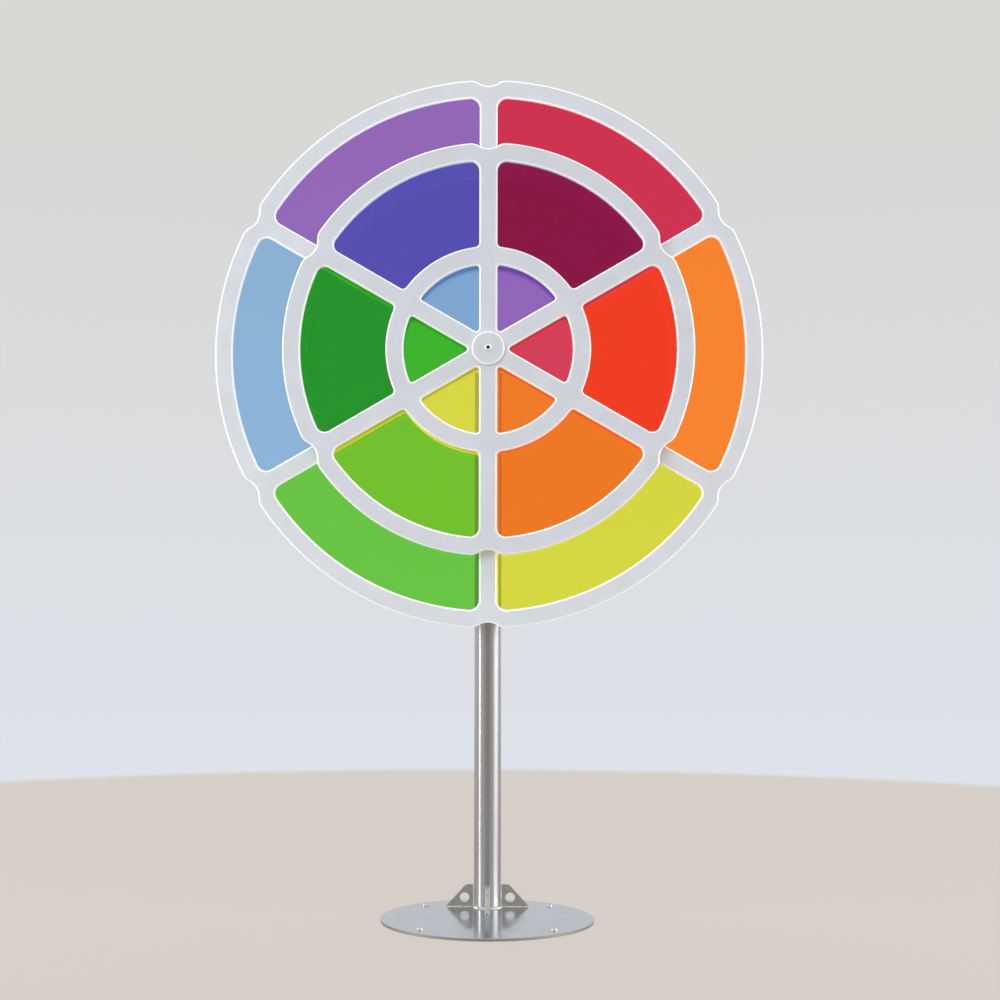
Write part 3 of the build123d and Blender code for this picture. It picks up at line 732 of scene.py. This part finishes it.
# %% Frame and hub screws
HUB_HEAD_HEIGHT = 0.0028
RING_CIRCLE, HUB_CIRCLE = 0.1705, 0.0282
frame_screw = countersunk_head("frame_screw_shape", head=0.008, sink=0.0022, socket=0.0025,
                               shank=0.004, below=0.012)
hub_screw = button_head("hub_screw_shape", head=0.0095, height=HUB_HEAD_HEIGHT, socket=0.003,
                        shank=0.005, below=0.009)
BACKWARDS, FORWARDS = (-math.pi / 2, 0, 0), (math.pi / 2, 0, 0)


def disc_screws(name, body, circles, depth, facing, shape, seed, old):
    """Screws of one kind on one disc, set out in circles about the axle."""
    places = [(x, depth, axle_height + z) for circle in circles for x, z in around_axis(*circle)]
    piece = grown(name, screw_tree, points_mesh(name + "_places", places),
                  {"Screw": shape, "Facing": facing, "Seed": seed,
                   "Metal": finishes["bright_screws"]})
    smooth_below(piece, SHARP_DEGREES)
    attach(piece, body)
    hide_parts(old)


for disc, seed in (("front_disc", 5), ("back_disc", 7)):
    low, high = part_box(disc + "_rear_frame")
    radius = (high[0] - low[0]) / 2
    circles = [(radius - 0.012, 12, 15), (RING_CIRCLE, 6, 30), (radius - 0.024, 6, 30)]
    disc_screws(disc + "_sheet_screws", disc, circles, high[1], BACKWARDS, frame_screw, seed,
                disc + "_frame_screws")
    hub_low, hub_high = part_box(disc + "_hub_screws")
    if disc == "front_disc":
        seat, facing = hub_high[1] - HUB_HEAD_HEIGHT, BACKWARDS
    else:
        seat, facing = hub_low[1] + HUB_HEAD_HEIGHT, FORWARDS
    disc_screws(disc + "_flange_screws", disc, [(HUB_CIRCLE, 6, 0)], seat, facing, hub_screw,
                seed + 10, disc + "_hub_screws")

# %% [markdown]
# ## Weld ripples
# The gussets are welded along their feet and up the post, and a heavier weld rings the post's
# foot. Each seam is a line, and a tree lays small overlapping beads along it, each a little
# different in size, the way a filler rod is dabbed.

# %% The tree that lays weld beads
bead_tree, given, result = tree_with_inputs(
    "beads_on_seams", {"Pitch": "Float", "Seed": "Int", "Metal": "Material"})
line = add(bead_tree, "GeometryNodeMeshToCurve", Mesh=given["Geometry"])
stops = add(bead_tree, "GeometryNodeResampleCurve", {"mode": "LENGTH"}, Curve=line.outputs[0],
            Length=given["Pitch"])
size = add(bead_tree, "GeometryNodeInputNamedAttribute", {"data_type": "FLOAT"}, Name="bead")
vary = add(bead_tree, "FunctionNodeRandomValue", {"data_type": "FLOAT"}, Seed=given["Seed"])
vary.inputs[2].default_value, vary.inputs[3].default_value = 0.86, 1.08
each = add(bead_tree, "ShaderNodeMath", {"operation": "MULTIPLY"}, in_0=size.outputs[0],
           in_1=vary.outputs[1])
ball = add(bead_tree, "GeometryNodeMeshUVSphere", Segments=10, Rings=6, Radius=1.0)
beads = add(bead_tree, "GeometryNodeInstanceOnPoints", Points=stops.outputs[0],
            Instance=ball.outputs["Mesh"], Scale=each.outputs[0])
end_tree(bead_tree, beads.outputs[0], given, result)
print(bead_tree.name)

# %% Seams and their beads
THIN_BEAD, HEAVY_BEAD, BEAD_PITCH, RING_STEPS = 0.0021, 0.0037, 0.0031, 64
low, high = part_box("post")
post_radius = (high[0] - low[0]) / 2
post_y = (low[1] + high[1]) / 2
low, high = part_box("gusset_right")
half_gusset = (high[1] - low[1]) / 2
gusset_tip, gusset_top = high[0], high[2]
points, edges, sizes = [], [], []


def seam(path, bead):
    """Adds one seam's points and edges; bead is the radius of its ripples."""
    start = len(points)
    points.extend(path)
    sizes.extend([bead] * len(path))
    edges.extend((start + i, start + i + 1) for i in range(len(path) - 1))


def beside_gusset(turn, side, out, z):
    """A point on one side of the gusset that points along turn, out from the post's axis."""
    return (out * math.cos(turn) - side * half_gusset * math.sin(turn),
            post_y + out * math.sin(turn) + side * half_gusset * math.cos(turn), z)


for quarter in range(4):
    for side in (-1, 1):
        web = (quarter * math.pi / 2, side)
        seam([beside_gusset(*web, post_radius + 0.003, plate_top),
              beside_gusset(*web, gusset_tip - 0.002, plate_top)], THIN_BEAD)
        seam([beside_gusset(*web, post_radius - 0.0002, plate_top + 0.004),
              beside_gusset(*web, post_radius - 0.0002, gusset_top - 0.001)], THIN_BEAD)
seam([(x, post_y + y, plate_top) for x, y in around_axis(post_radius, RING_STEPS, 0)
      + around_axis(post_radius, 1, 360)], HEAVY_BEAD)
seam_mesh = bpy.data.meshes.new("seams")
seam_mesh.from_pydata(points, edges, [])
attribute = seam_mesh.attributes.new("bead", "FLOAT", "POINT")
for i, bead in enumerate(sizes):
    attribute.data[i].value = bead
ripples = grown("weld_ripples", bead_tree, seam_mesh,
                {"Pitch": BEAD_PITCH, "Seed": 11, "Metal": finishes["weld_metal"]})
ripples.data.shade_smooth()
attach(ripples, "stand")
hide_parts("weld_beads")
